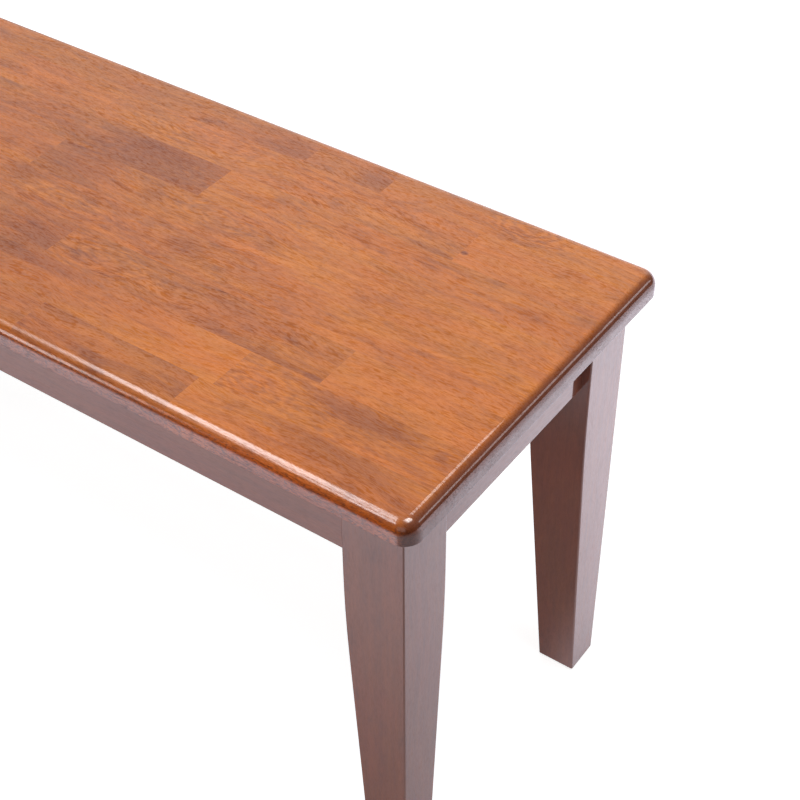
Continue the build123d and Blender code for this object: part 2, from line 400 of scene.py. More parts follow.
def make_stain_group():
    """Stained wood's colour, roughness, relief and the cover of its lacquer, from its grain."""
    numbers = {
        "Figure": 0.5, "Streak": 0.5, "Smudge": 0.0, "Fleck": 0.5, "Pores": 0.0, "Fibre": 0.5, "Hue": 0.5, "Speck": 0.0,
        "Mark": 0.0, "Curl": 0.0, "Wear": 0.0, "End Grain": 0.0, "Edge Stain": 0.0, "Round": 0.0, "Film": 0.0,
        "Tone": 0.5, "Figure Depth": 0.2, "Streak Depth": 0.25, "Fleck Depth": 0.15, "Pore Depth": 0.4,
        "Open Pores": 0.3, "Gloss": 0.38,
    }
    takes = [(name, FLOAT, default) for name, default in numbers.items()]
    takes += [(name, COLOUR, None) for name in ("Light", "Dark", "Pore Colour")]
    gives = [("Color", COLOUR), ("Roughness", FLOAT), ("Relief", FLOAT), ("Cover", FLOAT)]
    given, out = new_group("wood_stain", takes, gives)
    edge, pores, dark, pore_colour = (given[name] for name in ("Edge Stain", "Pores", "Dark", "Pore Colour"))

    # How light the stain is
    shade = plus(given["Tone"], given["Curl"])
    for name, depth in (("Figure", given["Figure Depth"]), ("Streak", given["Streak Depth"]),
                        ("Fleck", given["Fleck Depth"]), ("Fibre", 0.13)):
        shade = plus(shade, times(minus(given[name], 0.5), depth))
    shade = times_plus(given["Smudge"], -0.30, shade)
    # Marked edges are painted lighter: partly wear, partly a painted highlight along the rounded edges
    shade = times_plus(given["Wear"], 0.10, shade, clamp=True)
    colour = blend_colours(shade, dark, given["Light"])

    # What tints it: golden patches, marks, the redder stain on the seat's edge, soaked end grain, pores and specks
    golden = blend_colours(1.0, colour, (1.0, 1.11, 1.0, 1.0), "MULTIPLY")
    colour = blend_colours(given["Hue"], colour, golden)
    colour = blend_colours(given["Mark"], colour, dark)
    redder = blend_colours(1.0, colour, (1.14, 0.82, 0.35, 1.0), "MULTIPLY")
    colour = blend_colours(edge, colour, redder)
    soaked = blend_colours(0.4, dark, pore_colour)
    colour = blend_colours(given["End Grain"], colour, soaked)
    depth = times_plus(edge, 0.45, given["Pore Depth"])
    colour = blend_colours(times(pores, depth), colour, pore_colour)
    specks = times(times(given["Speck"], edge), 0.65)
    colour = blend_colours(specks, colour, pore_colour)

    # Painted sheen: white added to the seat's flat colour, away from pores and edges, for the room its lacquer mirrors
    film = times(given["Film"], minus(1.0, pores))
    film = times(film, minus(1.0, edge))
    feed(out["Color"], blend_colours(film, colour, (1.0, 1.0, 1.0, 1.0), "ADD"))

    rough = times_plus(pores, 0.12, given["Gloss"])
    rough = times_plus(given["Fibre"], 0.08, rough)
    feed(out["Roughness"], times_plus(given["Wear"], 0.05, rough))

    # The lacquer flowed out thicker on the roundover, so it shows half the relief
    flowed = times_plus(given["Round"], -0.5, 1.0)
    relief = times_plus(pores, -0.7, times(given["Fibre"], 0.3))
    feed(out["Relief"], times(relief, flowed))
    cut = times(times(pores, given["Open Pores"]), flowed)
    feed(out["Cover"], minus(1.0, cut))


def make_wear_and_highlight_group():
    """Broken wear along the edges that the piece marks, which also paints them lighter as a highlight."""
    given, out = new_group("edge_wear", [("Vector", VECTOR, None), ("Edge", FLOAT, 0.0)], [("Wear", FLOAT)])
    patches = noise(given["Vector"], (60.0, 60.0, 60.0), 4.0, 0.6)
    feed(out["Wear"], times(given["Edge"], band(patches, 0.35, 0.65, 0.25, 1.0)))


def make_metal_group():
    """Zinc plate: cloudy spangle, fine scratches and a little dulling."""
    gives = [("Color", COLOUR), ("Roughness", FLOAT), ("Relief", FLOAT)]
    given, out = new_group("zinc_plate", [("Vector", VECTOR, None)], gives)
    cloud = noise(given["Vector"], (260.0, 260.0, 260.0), 3.0, 0.55)
    scratch = noise(given["Vector"], (900.0, 5200.0, 2600.0), 2.0, 0.5)
    colour = blend_colours(cloud, (0.47, 0.46, 0.42, 1.0), (0.74, 0.74, 0.72, 1.0))
    scratched = blend_colours(band(scratch, 0.58, 0.72, 0.0, 0.4), colour, (0.30, 0.29, 0.27, 1.0))
    feed(out["Color"], scratched)
    feed(out["Roughness"], band(cloud, 0.3, 0.7, 0.26, 0.44))
    feed(out["Relief"], scratch)


# Which way the fibres run, and the turn that brings them to X
ALONG_X = ((1.0, 0.0, 0.0), (0.0, 0.0, 0.0))
ALONG_Y = ((0.0, 1.0, 0.0), (0.0, 0.0, math.radians(90)))
ALONG_Z = ((0.0, 0.0, 1.0), (0.0, math.radians(90), 0.0))


def new_material(name):
    material = bpy.data.materials.new(name)
    material.use_nodes = True
    return material, material.node_tree, material.node_tree.nodes["Principled BSDF"]


def relieve(shader, height, strength, distance):
    """Gives a shader its relief; distance is the relief's full height in mm."""
    bump = add_beside([height], "ShaderNodeBump")
    feed_all(bump, {"Strength": strength, "Distance": distance * MM, "Height": height})
    feed(shader.inputs["Normal"], bump.outputs["Normal"])


def wood(name, seed, fibres, colours, tone=0.5, slope=0.0, centre=(0.0, 0.0, 0.0), figure=0.2, streak=0.25, fleck=0.15,
         pores=0.4, open_pores=0.3, film=0.0, edge_stain=0.0, figure_width=1.0, warp=1.0, gloss=0.38, lacquer=0.05,
         marks=(), curl=None):
    """One board's material. Slope lightens it along X; a mark or curl has its centre, its reach and its strength.
    Lacquer is the roughness of the clear coat, and None leaves the board bare."""
    material, tree, shader = new_material(name)
    coordinates = add(tree, "ShaderNodeTexCoord").outputs
    where = coordinates["Object"]
    along, turn = fibres
    grain = use_group(tree, "wood_grain", Vector=turned_to(where, turn), Seed=seed, Figure_Width=figure_width,
                      Warp=warp)
    # Edges marked for wear and for a painted highlight
    marked = add(tree, "ShaderNodeAttribute", attribute_name="edge_wear").outputs["Fac"]
    parts = separate(vector_maths("SUBTRACT", where, centre))
    faces = use_group(tree, "wood_faces", Normal=coordinates["Normal"], Along=along)
    stain = {key: grain[key] for key in GRAIN}
    # Painted sheen whitens the colour of the flat top
    stain.update(
        Wear=use_group(tree, "edge_wear", Vector=where, Edge=marked)["Wear"],
        Tone=times_plus(parts["X"], slope, tone), Gloss=gloss, Figure_Depth=figure, Streak_Depth=streak,
        Fleck_Depth=fleck, Pore_Depth=pores, End_Grain=faces["End Grain"], Open_Pores=open_pores, Film=film,
        Light=colours[0], Dark=colours[1], Pore_Colour=colours[2],
    )
    if edge_stain:
        stain.update(Edge_Stain=times(faces["Edge"], edge_stain), Round=faces["Round"])

    def spot(group, place, reach, strength):
        return use_group(tree, group, Vector=where, Centre=place, Reach=reach, Strength=strength)[0]

    for mark in marks:
        made = spot("wood_mark", *mark)
        stain["Mark"] = maths("MAXIMUM", stain["Mark"], made) if "Mark" in stain else made
    if curl:
        stain["Curl"] = spot("wood_curl", *curl)
    stained = use_group(tree, "wood_stain", **stain)
    feed_all(shader, {"Base Color": stained["Color"], "Roughness": stained["Roughness"]})
    relieve(shader, stained["Relief"], 0.12, 0.2)
    shader.inputs["Specular IOR Level"].default_value = 0.3 if lacquer is None else 0.1
    if lacquer is not None:
        feed_all(shader, {"Coat Weight": stained["Cover"], "Coat Roughness": lacquer, "Coat IOR": 1.78})
    return material


def steel(name):
    material, tree, shader = new_material(name)
    plate = use_group(tree, "zinc_plate", Vector=add(tree, "ShaderNodeTexCoord").outputs["Object"])
    feed_all(shader, {"Base Color": plate["Color"], "Roughness": plate["Roughness"], "Metallic": 1.0})
    relieve(shader, plate["Relief"], 0.15, 0.05)
    return material


# Looks of the staves, by row and number: tone, slope along X per metre, figure, streak and fleck depth
STAVE_LOOKS = {
    (1, 2): (0.54, 0.0, 0.14, 0.24, 0.06),
    (1, 3): (0.48, 0.0, 0.20, 0.30, 0.06),
    (1, 4): (0.70, -1.0, 0.18, 0.30, 0.10),
    (2, 2): (0.46, 0.0, 0.16, 0.28, 0.10),
    (2, 3): (0.68, 2.3, 0.18, 0.26, 0.10),
    (2, 4): (0.68, -0.3, 0.14, 0.20, 0.34),
    (3, 2): (0.44, -0.5, 0.18, 0.28, 0.12),
    (3, 3): (0.57, 0.3, 0.20, 0.30, 0.18),
    (3, 4): (0.88, 0.1, 0.12, 0.16, 0.18),
    (4, 3): (0.67, 0.6, 0.20, 0.26, 0.20),
    (5, 2): (0.66, 0.0, 0.16, 0.26, 0.12),
    (5, 3): (0.65, 0.8, 0.18, 0.28, 0.22),
    (5, 4): (0.82, 0.2, 0.18, 0.24, 0.14),
    (6, 2): (0.53, -0.5, 0.14, 0.24, 0.24),
    (6, 3): (0.75, 0.2, 0.18, 0.24, 0.18),
    (7, 3): (0.75, 0.3, 0.14, 0.20, 0.26),
    (7, 4): (0.86, 0.0, 0.14, 0.18, 0.14),
    (8, 2): (0.62, -0.3, 0.20, 0.28, 0.16),
    (8, 3): (0.63, 0.0, 0.18, 0.26, 0.12),
    (8, 4): (0.76, 0.0, 0.22, 0.24, 0.16),
}

# Knots, patches and dark streaks, by row and number: place from the right end and the middle, and reach, in mm, and
# strength
STAVE_MARKS = {
    (1, 4): [((-85, -146), (70, 14), 0.42)],
    (2, 2): [((-500, -100), (60, 9), 0.40)],
    (2, 3): [((-410, -98), (75, 9), 0.42)],
    (2, 4): [((-90, -102), (60, 13), 0.60), ((-24, -104), (7, 7), 0.40)],
    (3, 2): [((-440, -74), (50, 22), 0.40)],
    (3, 3): [((-200, -86.5), (75, 5), 0.48), ((-150, -87.5), (12, 4), 0.75),
             ((-226, -70), (12, 7), 0.35)],
    (4, 3): [((-338, -16), (17, 17), 0.46), ((-519, -12), (22, 12), 0.45)],
    (5, 3): [((-490, 22), (52, 60), 0.46), ((-405, 24), (14, 14), 0.35), ((-334, 14), (16, 20), 0.30),
             ((-282, 22), (18, 12), 0.35)],
    (6, 2): [((-440, 68), (75, 60), 0.62), ((-500, 55), (60, 22), 0.30)],
    (6, 3): [((-308, 80), (12, 9), 0.40), ((-18, 80), (14, 12), 0.25)],
    (7, 3): [((-170, 93.5), (30, 5), 0.55)],
    (7, 4): [((-142.5, 105), (4.5, 3), 1)],
    (8, 2): [((-350, 146), (30, 16), 0.46), ((-378, 142), (16, 9), 0.30)],
    (8, 3): [((-262, 148), (22, 18), 0.52)],
}

# Curls in the figure, by row and number: place from the right end and the middle, and reach, in mm, and depth
STAVE_CURLS = {
    (2, 4): ((-180, -118), (60, 40), 0.14),
    (3, 3): ((-385, -66), (110, 36), 0.13),
    (4, 3): ((-450, -24), (110, 36), 0.11),
    (5, 3): ((-330, 30), (90, 30), 0.12),
    (6, 2): ((-440, 62), (80, 34), 0.12),
    (6, 3): ((-255, 62), (120, 30), 0.10),
    (7, 3): ((-430, 116), (90, 34), 0.12),
    (8, 4): ((-112, 160), (60, 34), 0.22),
}


class BenchSizes(bpy.types.PropertyGroup):
    """Sizes that a maker would change."""

    seat_edge_radius: FloatProperty(
        name="Seat edge radius", description="Roundover along the top of the seat's edge",
        default=11.5 * MM, unit="LENGTH")
    seat_corner_radius: FloatProperty(
        name="Seat corner radius", description="Radius of the seat's corners seen from above",
        default=15.5 * MM, unit="LENGTH")
    seat_under_radius: FloatProperty(
        name="Seat under radius", description="Easing along the bottom of the seat's edge",
        default=1.2 * MM, unit="LENGTH")
    leg_edge_radius: FloatProperty(
        name="Leg edge radius", description="Rounding of the legs' long edges", default=1.5 * MM, unit="LENGTH")
    foot_width: FloatProperty(
        name="Foot width", description="Width of a leg at the floor", default=37.0 * MM, unit="LENGTH")
    foot_chamfer: FloatProperty(
        name="Foot chamfer", description="Chamfer round each foot", default=2.5 * MM, unit="LENGTH")
    knee_height: FloatProperty(
        name="Knee height", description="Height at which the taper would start without its curve",
        default=311.0 * MM, unit="LENGTH")
    knee_radius: FloatProperty(
        name="Knee radius", description="Radius of the curve into the taper", default=1600.0 * MM, unit="LENGTH")
    pad_cut: FloatProperty(
        name="Pad cut", description="How far the bolt pad cuts into the leg's inner corner",
        default=12.0 * MM, unit="LENGTH")


class BenchColours(bpy.types.PropertyGroup):
    """Stain colours: where the grain is light, where it is dark, and in the pores."""

    seat_light: FloatVectorProperty(
        name="Seat light", description="Light grain of the seat",
        default=(0.62, 0.160, 0.010, 1.0), size=4, subtype="COLOR")
    seat_dark: FloatVectorProperty(
        name="Seat dark", description="Dark grain of the seat",
        default=(0.25, 0.052, 0.010, 1.0), size=4, subtype="COLOR")
    seat_pores: FloatVectorProperty(
        name="Seat pores", description="Pores of the seat", default=(0.10, 0.022, 0.008, 1.0), size=4, subtype="COLOR")
    frame_light: FloatVectorProperty(
        name="Frame light", description="Light grain of legs and aprons",
        default=(0.44, 0.096, 0.020, 1.0), size=4, subtype="COLOR")
    frame_dark: FloatVectorProperty(
        name="Frame dark", description="Dark grain of legs and aprons",
        default=(0.24, 0.050, 0.012, 1.0), size=4, subtype="COLOR")
    frame_pores: FloatVectorProperty(
        name="Frame pores", description="Pores of legs and aprons",
        default=(0.12, 0.024, 0.008, 1.0), size=4, subtype="COLOR")
    block_light: FloatVectorProperty(
        name="Block light", description="Light grain of the unstained blocks and rail",
        default=(0.66, 0.47, 0.27, 1.0), size=4, subtype="COLOR")
    block_dark: FloatVectorProperty(
        name="Block dark", description="Dark grain of the unstained blocks and rail",
        default=(0.42, 0.26, 0.13, 1.0), size=4, subtype="COLOR")
    block_pores: FloatVectorProperty(
        name="Block pores", description="Pores of the unstained blocks and rail",
        default=(0.22, 0.12, 0.06, 1.0), size=4, subtype="COLOR")


def sizes():
    return bpy.context.scene.bench_sizes


def stains(kind):
    """Light, dark and pore colours of the seat, frame or block wood."""
    return [tuple(getattr(bpy.context.scene.bench_colours, f"{kind}_{part}")) for part in ("light", "dark", "pores")]


# Seat


SEAT_NODES = sorted(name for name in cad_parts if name.startswith("seat_row_"))
EDGE_ROWS = (1, 8)
ROUNDOVER_LEAN = 0.17


def seat_panel():
    """The whole seat as one rounded panel, to be cut into staves."""
    boxes = [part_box(name) for name in SEAT_NODES]
    low = Vector([min(box[0][axis] for box in boxes) for axis in range(3)])
    high = Vector([max(box[1][axis] for box in boxes) for axis in range(3)])
    panel = box_between("seat_panel", low, high)
    bevel_edges(panel, lambda a, b: not near(a.z, b.z), sizes().seat_corner_radius, 14)
    bevel_edges(panel, lambda a, b: near(a.z, high.z) and near(b.z, high.z), sizes().seat_edge_radius, 12)
    bevel_edges(panel, lambda a, b: near(a.z, low.z) and near(b.z, low.z), sizes().seat_under_radius, 3)
    return panel, low, high


def cut_stave(panel, panel_low, panel_high, node):
    """Cuts one stave out of a copy of the panel, along the glue lines of its node."""
    low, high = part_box(node)
    stave = own_copy(panel, node.replace("seat_row", "stave_row").replace("_stave_", "_number_"))
    for axis in (0, 1):
        for place, limit, way in ((low, panel_low, -1), (high, panel_high, 1)):
            if near(place[axis], limit[axis]):
                continue
            point, normal = Vector(), Vector()
            point[axis] = place[axis]
            normal[axis] = way
            edit(stave, "FACE", "SELECT")
            bpy.ops.mesh.bisect(plane_co=point, plane_no=normal, use_fill=True, clear_outer=True)
            leave_edit()
    return stave


def stave_materials(node, low, high, right_end):
    """A stave's own board, with looks from the tables or drawn, and for a stave of the seat's front or back edge the
    same board again under the hazier lacquer of the roundover."""
    row, number = (int(word) for word in node.replace("seat_row_", "").split("_stave_"))
    draw = random.Random(row * 17 + number * 5)
    limits = ((0.56, 0.80), (-0.3, 0.3), (0.12, 0.24), (0.20, 0.34), (0.08, 0.26))
    drawn = [draw.uniform(least, most) for least, most in limits]
    tone, slope, figure, streak, fleck = STAVE_LOOKS.get((row, number), drawn)

    def spot(place, reach, strength, depth):
        """A mark or curl on the top, in metres; depth is its reach into the wood in mm."""
        centre = (right_end + place[0] * MM, place[1] * MM, high.z)
        return centre, (reach[0] * MM, reach[1] * MM, depth * MM), strength

    curl = STAVE_CURLS.get((row, number))
    # The seat's flat gets a little painted sheen, white added to its colour
    look = dict(
        seed=row * 3.1 + number * 1.7, fibres=ALONG_X, colours=stains("seat"), tone=tone, slope=slope,
        centre=(low + high) / 2, figure=figure, streak=streak, fleck=fleck, pores=draw.uniform(0.13, 0.21),
        open_pores=0.6, film=0.026, edge_stain=1.0, figure_width=draw.uniform(0.7, 1.2), warp=draw.uniform(0.6, 1.6),
        marks=[spot(*mark, 30.0) for mark in STAVE_MARKS.get((row, number), ())],
        curl=spot(*curl, 60.0) if curl else None,
    )
    materials = [wood(f"seat_stave_{row}_{number}_wood", **look)]
    if row in EDGE_ROWS:
        materials.append(wood(f"seat_stave_{row}_{number}_roundover", lacquer=0.18, **look))
    return materials


def part_roundover(stave):
    """Gives the stave's second material, if it has one, to the faces that lean across the fibres."""
    if len(stave.data.materials) > 1:
        for face in stave.data.polygons:
            face.material_index = int(abs(face.normal.y) > ROUNDOVER_LEAN)


def seat_wear_and_highlight(low, high):
    """How far round the top edge a point lies, most in the roundover's middle, for wear and a painted highlight."""
    radius = sizes().seat_edge_radius

    def wear_and_highlight(co):
        inward = min(co.x - low.x, high.x - co.x, co.y - low.y, high.y - co.y)
        drop = high.z - co.z
        on_round = max(0.0, 1 - inward / radius) * max(0.0, 1 - drop / radius)
        return min(1.0, 4 * on_round)

    return wear_and_highlight


class BENCH_OT_seat(bpy.types.Operator):
    """Model the rounded seat panel and cut it along its glue lines into staves"""

    bl_idname = "bench.seat"
    bl_label = "Seat staves"

    def execute(self, context):
        panel, low, high = seat_panel()
        for node in SEAT_NODES:
            stave = cut_stave(panel, low, high, node)
            mark_edges(stave, seat_wear_and_highlight(low, high))
            smooth(stave)
            node_low, node_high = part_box(node)
            fit_in(stave, SEAT_SLOT, [node], *stave_materials(node, node_low, node_high, high.x))
            part_roundover(stave)
        bpy.data.objects.remove(panel)
        return {"FINISHED"}


# Legs

KNEE_STEPS = 10
PAD_BELOW_BLOCK = 4 * MM
FRAME_LOOK = {"fleck": 0.10, "pores": 0.16, "open_pores": 0.08}
LEG_TONES = (0.50, 0.51, 0.45, 0.60)
APRONS = (("front_apron", ALONG_X, 0.66), ("back_apron", ALONG_X, 0.57),
          ("left_apron", ALONG_Y, 0.57), ("right_apron", ALONG_Y, 0.70))


def knee_curve(full):
    """The taper's slope, and the heights between which a tangent arc leads from it to the full width."""
    slope = math.atan2(full - sizes().foot_width, sizes().knee_height)
    run = sizes().knee_radius * math.tan(slope / 2)
    return slope, sizes().knee_height - run * math.cos(slope), sizes().knee_height + run


def leg_width_at(height, full):
    """Width of a leg at a height: straight taper, a tangent arc at the knee, then the full width."""
    slope, start, end = knee_curve(full)
    if height <= start:
        return sizes().foot_width + height * math.tan(slope)
    if height >= end:
        return full
    return full - sizes().knee_radius + math.sqrt(sizes().knee_radius ** 2 - (end - height) ** 2)


def build_leg(end, side):
    """Extrudes a leg up from its foot; its outer corner is plumb."""
    low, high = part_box(f"{end}_{side}_leg")
    full = high.x - low.x
    corner = Vector((low.x if side == "left" else high.x, low.y if end == "front" else high.y, 0))
    inward = Vector((1 if side == "left" else -1, 1 if end == "front" else -1, 0))
    foot, chamfer = sizes().foot_width, sizes().foot_chamfer
    width, height = foot - 2 * chamfer, 0.0
    leg = primitive(bpy.ops.mesh.primitive_plane_add, f"{end}_{side}_tapered_leg", size=width,
                    location=corner + inward * foot / 2)
    edit(leg, "FACE", "SELECT")
    start, stop = knee_curve(full)[1:]
    knee = [start + (stop - start) * step / KNEE_STEPS for step in range(KNEE_STEPS + 1)]
    for level in [chamfer, chamfer * 1.4] + knee + [high.z]:
        wider = leg_width_at(level, full)
        share = wider / width
        # The first step flares out over the chamfer; after it the outer corner stays where it is
        still = corner + inward * (chamfer * share / (share - 1)) if height == 0 else corner
        grow(level - height, level, share, still.x, still.y)
        width, height = wider, level
    close_shell()
    return leg, corner, inward, full, high.z


def ease_leg(leg, corner, inward, full):
    """Rounds the leg's four long edges."""
    def aside(co):
        """Which side of the section's middle a point lies on, along X and along Y."""
        middle = leg_width_at(co.z, full) / 2
        return ((co.x - corner.x) * inward.x > middle, (co.y - corner.y) * inward.y > middle)

    bevel_edges(leg, lambda a, b: not near(a.z, b.z) and aside(a) == aside(b), sizes().leg_edge_radius, 5)


def cut_pad(leg, corner, inward, full, top):
    """Cuts the flat on the inner corner that the bolts pull against the corner block."""
    block_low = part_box(leg.name.replace("_tapered_leg", "_corner_block"))[0]
    reach = full / math.sqrt(2)
    low, high = Vector((-reach, -full, block_low.z - PAD_BELOW_BLOCK)), Vector((reach, full, top + full))
    cutter = box_between("pad_cutter", low, high)
    cutter.rotation_euler = (0, 0, math.atan2(inward.y, inward.x))
    cutter.location = corner + inward * ((2 * full - sizes().pad_cut) / 2 + full / 2)
    place_in_mesh()
    cut_away(leg, cutter)


def leg_wear_and_highlight(corner, inward, full):
    """Wear and a painted highlight along the rounded edges, and wear round the foot."""
    radius = sizes().leg_edge_radius

    def wear_and_highlight(co):
        width = leg_width_at(co.z, full)
        x, y = (co.x - corner.x) * inward.x, (co.y - corner.y) * inward.y
        beside = max(min(x, width - x), min(y, width - y))
        return 1.0 if beside < radius * 0.98 or co.z < sizes().foot_chamfer * 1.1 else 0.0

    return wear_and_highlight


class BENCH_OT_legs(bpy.types.Operator):
    """Extrude each leg up from its foot, ease its edges and cut its bolt pad"""

    bl_idname = "bench.legs"
    bl_label = "Tapered legs"

    def execute(self, context):
        for index, (end, side) in enumerate(CORNERS):
            leg, corner, inward, full, top = build_leg(end, side)
            ease_leg(leg, corner, inward, full)
            cut_pad(leg, corner, inward, full, top)
            mark_edges(leg, leg_wear_and_highlight(corner, inward, full))
            smooth(leg)
            material = wood(f"{end}_{side}_leg_wood", 40 + index * 2.3, ALONG_Z, stains("frame"),
                            tone=LEG_TONES[index], warp=0.5, **FRAME_LOOK)
            fit_in(leg, FRAME_SLOT, [f"{end}_{side}_leg"], material)
        return {"FINISHED"}


class BENCH_OT_frame(bpy.types.Operator):
    """Finish the aprons, the corner blocks and the cross rail"""

    bl_idname = "bench.frame"
    bl_label = "Aprons, blocks and rail"

    def execute(self, context):
        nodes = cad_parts
        for index, (node, fibres, tone) in enumerate(APRONS):
            finish(nodes[node], wood(f"{node}_wood", 60 + index * 3.7, fibres, stains("frame"), tone=tone, warp=0.7,
                                     **FRAME_LOOK))
        for index, (end, side) in enumerate(CORNERS):
            finish(nodes[f"{end}_{side}_corner_block"], wood(
                f"{end}_{side}_block_wood", 80 + index * 1.9, ALONG_Z, stains("block"), tone=0.55, figure=0.35,
                pores=0.35, gloss=0.62, lacquer=None))
        finish(nodes["cross_rail"], wood(
            "cross_rail_wood", 91.3, ALONG_Y, stains("block"), tone=0.6, figure=0.4, gloss=0.62, lacquer=None))
        return {"FINISHED"}


# Fasteners, in mm. Each master stands on the Z axis with its seat at 0 and its point upwards


def turned(name, profile):
    """A round piece up the Z axis; profile lists its heights and radii, from the bottom face."""
    height, radius = profile[0]
    piece = primitive(bpy.ops.mesh.primitive_circle_add, name, vertices=24, radius=radius * MM, fill_type="NGON",
                      location=(0, 0, height * MM))
    edit(piece, "FACE", "SELECT")
    for level, wider in profile[1:]:
        grow((level - height) * MM, level * MM, wider / radius)
        height, radius = level, wider
    close_shell()
    return piece


def thread(radius, root, pitch, low, high):
    """The ridge of a thread, wound round the Z axis from low to high."""
    section = ((radius - root) * MM, pitch * 0.38 * MM, 1)
    ridge = primitive(bpy.ops.mesh.primitive_circle_add, "thread_ridge", section, vertices=4, radius=1,
                      location=(root * MM, 0, (low + pitch / 2) * MM), rotation=(math.radians(90), 0, 0))
    turns = int((high - low) / pitch) - 1
    apply_modifier(ridge, "SCREW", screw_offset=pitch * MM, iterations=turns, steps=20, render_steps=20)
    edit(ridge, "VERT")
    bpy.ops.mesh.select_non_manifold()
    bpy.ops.mesh.fill_holes(sides=0)
    close_shell()
    return ridge


def join(pieces):
    only(pieces[0])
    for piece in pieces[1:]:
        piece.select_set(True)
    bpy.ops.object.join()
    return pieces[0]


def wood_screw(name, length):
    """A pan-headed wood screw with a cross recess."""
    point, root = 4.0, 1.5
    head = ((-2.6, 3.10), (-2.4, 3.36), (-2.1, 3.66), (-1.73, 3.98), (0.0, 4.0))
    body = turned(name, head + ((0.0, root), (length - point, root), (length, 0.4)))
    for x, y in ((2.2, 0.42), (0.42, 2.2)):
        cut_away(body, box_between("recess_cutter", Vector((-x, -y, -3.0)) * MM, Vector((x, y, -1.3)) * MM))
    return join([body, thread(2.0, root, 1.8, 3.0, length - point * 0.6)])


def hanger_bolt(name, length, grip):
    """A hanger bolt: coarse thread in the leg, machine thread through the block, chamfered end."""
    in_leg = ((0.0, 1.6), (3.0, 3.0), (grip - 4.0, 3.0), (grip - 3.5, 3.9))
    in_block = ((grip + 3.0, 3.9), (grip + 3.4, 3.4), (length - 0.75, 3.4), (length, 2.9))
    body = turned(name, in_leg + in_block)
    return join([body, thread(4.0, 3.0, 3.0, 1.5, grip - 2.5), thread(4.0, 3.4, 1.25, grip + 2.0, length - 0.4)])


def set_out(master, node, places):
    """Copies a master to each place and its direction, and joins the copies into the piece that stands for the node."""
    copies = []
    for number, (place, direction) in enumerate(places):
        made = own_copy(master, f"{node}_made_{number}")
        only(made)
        made.rotation_mode = "QUATERNION"
        made.rotation_quaternion = Vector(direction).to_track_quat("Z", "Y")
        made.location = Vector(place) * MM
        place_in_mesh()
        copies.append(made)
    piece = join(copies)
    piece.name = piece.data.name = f"{node}_threaded"
    smooth(piece, math.radians(35))
    fit_in(piece, STEEL_SLOT, [node], steel(f"{node}_zinc"))
    bpy.data.objects.remove(master)


# The legs' outer corners and top, the middles of the aprons' thickness, and the bolt pad's distance from the corner
CORNER_SIGNS = ((-1, -1), (1, -1), (-1, 1), (1, 1))
CORNER_X, CORNER_Y, LEG_TOP = 476.5, 158.5, 436.5
LONG_APRON_Y, SHORT_APRON_X = 139.0, 458.5
PAD_FROM_CORNER = 69.30

# Heads of the block screws, in from the corner along X and Y, by the apron that they go into
INTO_LONG_APRON, INTO_SHORT_APRON = (81.21, 42.5), (41.0, 82.71)
BLOCK_SCREW_Z, RAIL_SCREW_Z, BOLT_ZS = 407.5, 419.1, (392.5, 422.5)

# Places along each apron and the rail; a pocket screw leans, and its head lies some way down its axis
LONG_APRON_XS, SHORT_APRON_YS, RAIL_YS = (-303.48, -101.16, 101.16, 303.48), (-31.05, 31.05), (-77.4, -25.8, 25.8, 77.4)
POCKET_LEAN, POCKET_DEPTH = math.radians(15), 22.0
BOLT_IN_LEG = 36.0


def block_screw_places():
    """Two screws in each corner block, one into each apron."""
    places = []
    for x, y in CORNER_SIGNS:
        for (along, across), way in ((INTO_LONG_APRON, (0, y, 0)), (INTO_SHORT_APRON, (x, 0, 0))):
            places.append(((x * (CORNER_X - along), y * (CORNER_Y - across), BLOCK_SCREW_Z), way))
    return places


def pocket_screw_places():
    """Screws that lean outwards through the aprons into the seat."""
    aside, up = math.sin(POCKET_LEAN), math.cos(POCKET_LEAN)
    back, height = POCKET_DEPTH * aside, LEG_TOP - POCKET_DEPTH * up
    places = []
    for side in (-1, 1):
        places += [((x, side * (LONG_APRON_Y - back), height), (0, side * aside, up)) for x in LONG_APRON_XS]
        places += [((side * (SHORT_APRON_X - back), y, height), (side * aside, 0, up)) for y in SHORT_APRON_YS]
    return places


def bolt_places():
    """Two bolts across each corner, from inside the leg towards the bench's middle."""
    start = (PAD_FROM_CORNER - BOLT_IN_LEG) / math.sqrt(2)
    x_start, y_start = CORNER_X - start, CORNER_Y - start
    return [((x * x_start, y * y_start, z), (-x, -y, 0)) for x, y in CORNER_SIGNS for z in BOLT_ZS]


class BENCH_OT_fasteners(bpy.types.Operator):
    """Model the screws and hanger bolts with their threads, and finish the washers and nuts"""

    bl_idname = "bench.fasteners"
    bl_label = "Fasteners"

    def execute(self, context):
        set_out(wood_screw("block_screw", 27.0), "block_screws", block_screw_places())
        set_out(wood_screw("pocket_screw", 35.0), "seat_pocket_screws", pocket_screw_places())
        set_out(wood_screw("rail_screw", 30.4), "rail_screws", [((0, y, RAIL_SCREW_Z), (0, 0, 1)) for y in RAIL_YS])
        set_out(hanger_bolt("hanger_bolt", 72.6, BOLT_IN_LEG), "hanger_bolts", bolt_places())
        for node in ("bolt_washers", "bolt_nuts"):
            finish(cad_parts[node], steel(f"{node}_zinc"))
        return {"FINISHED"}


# Stage


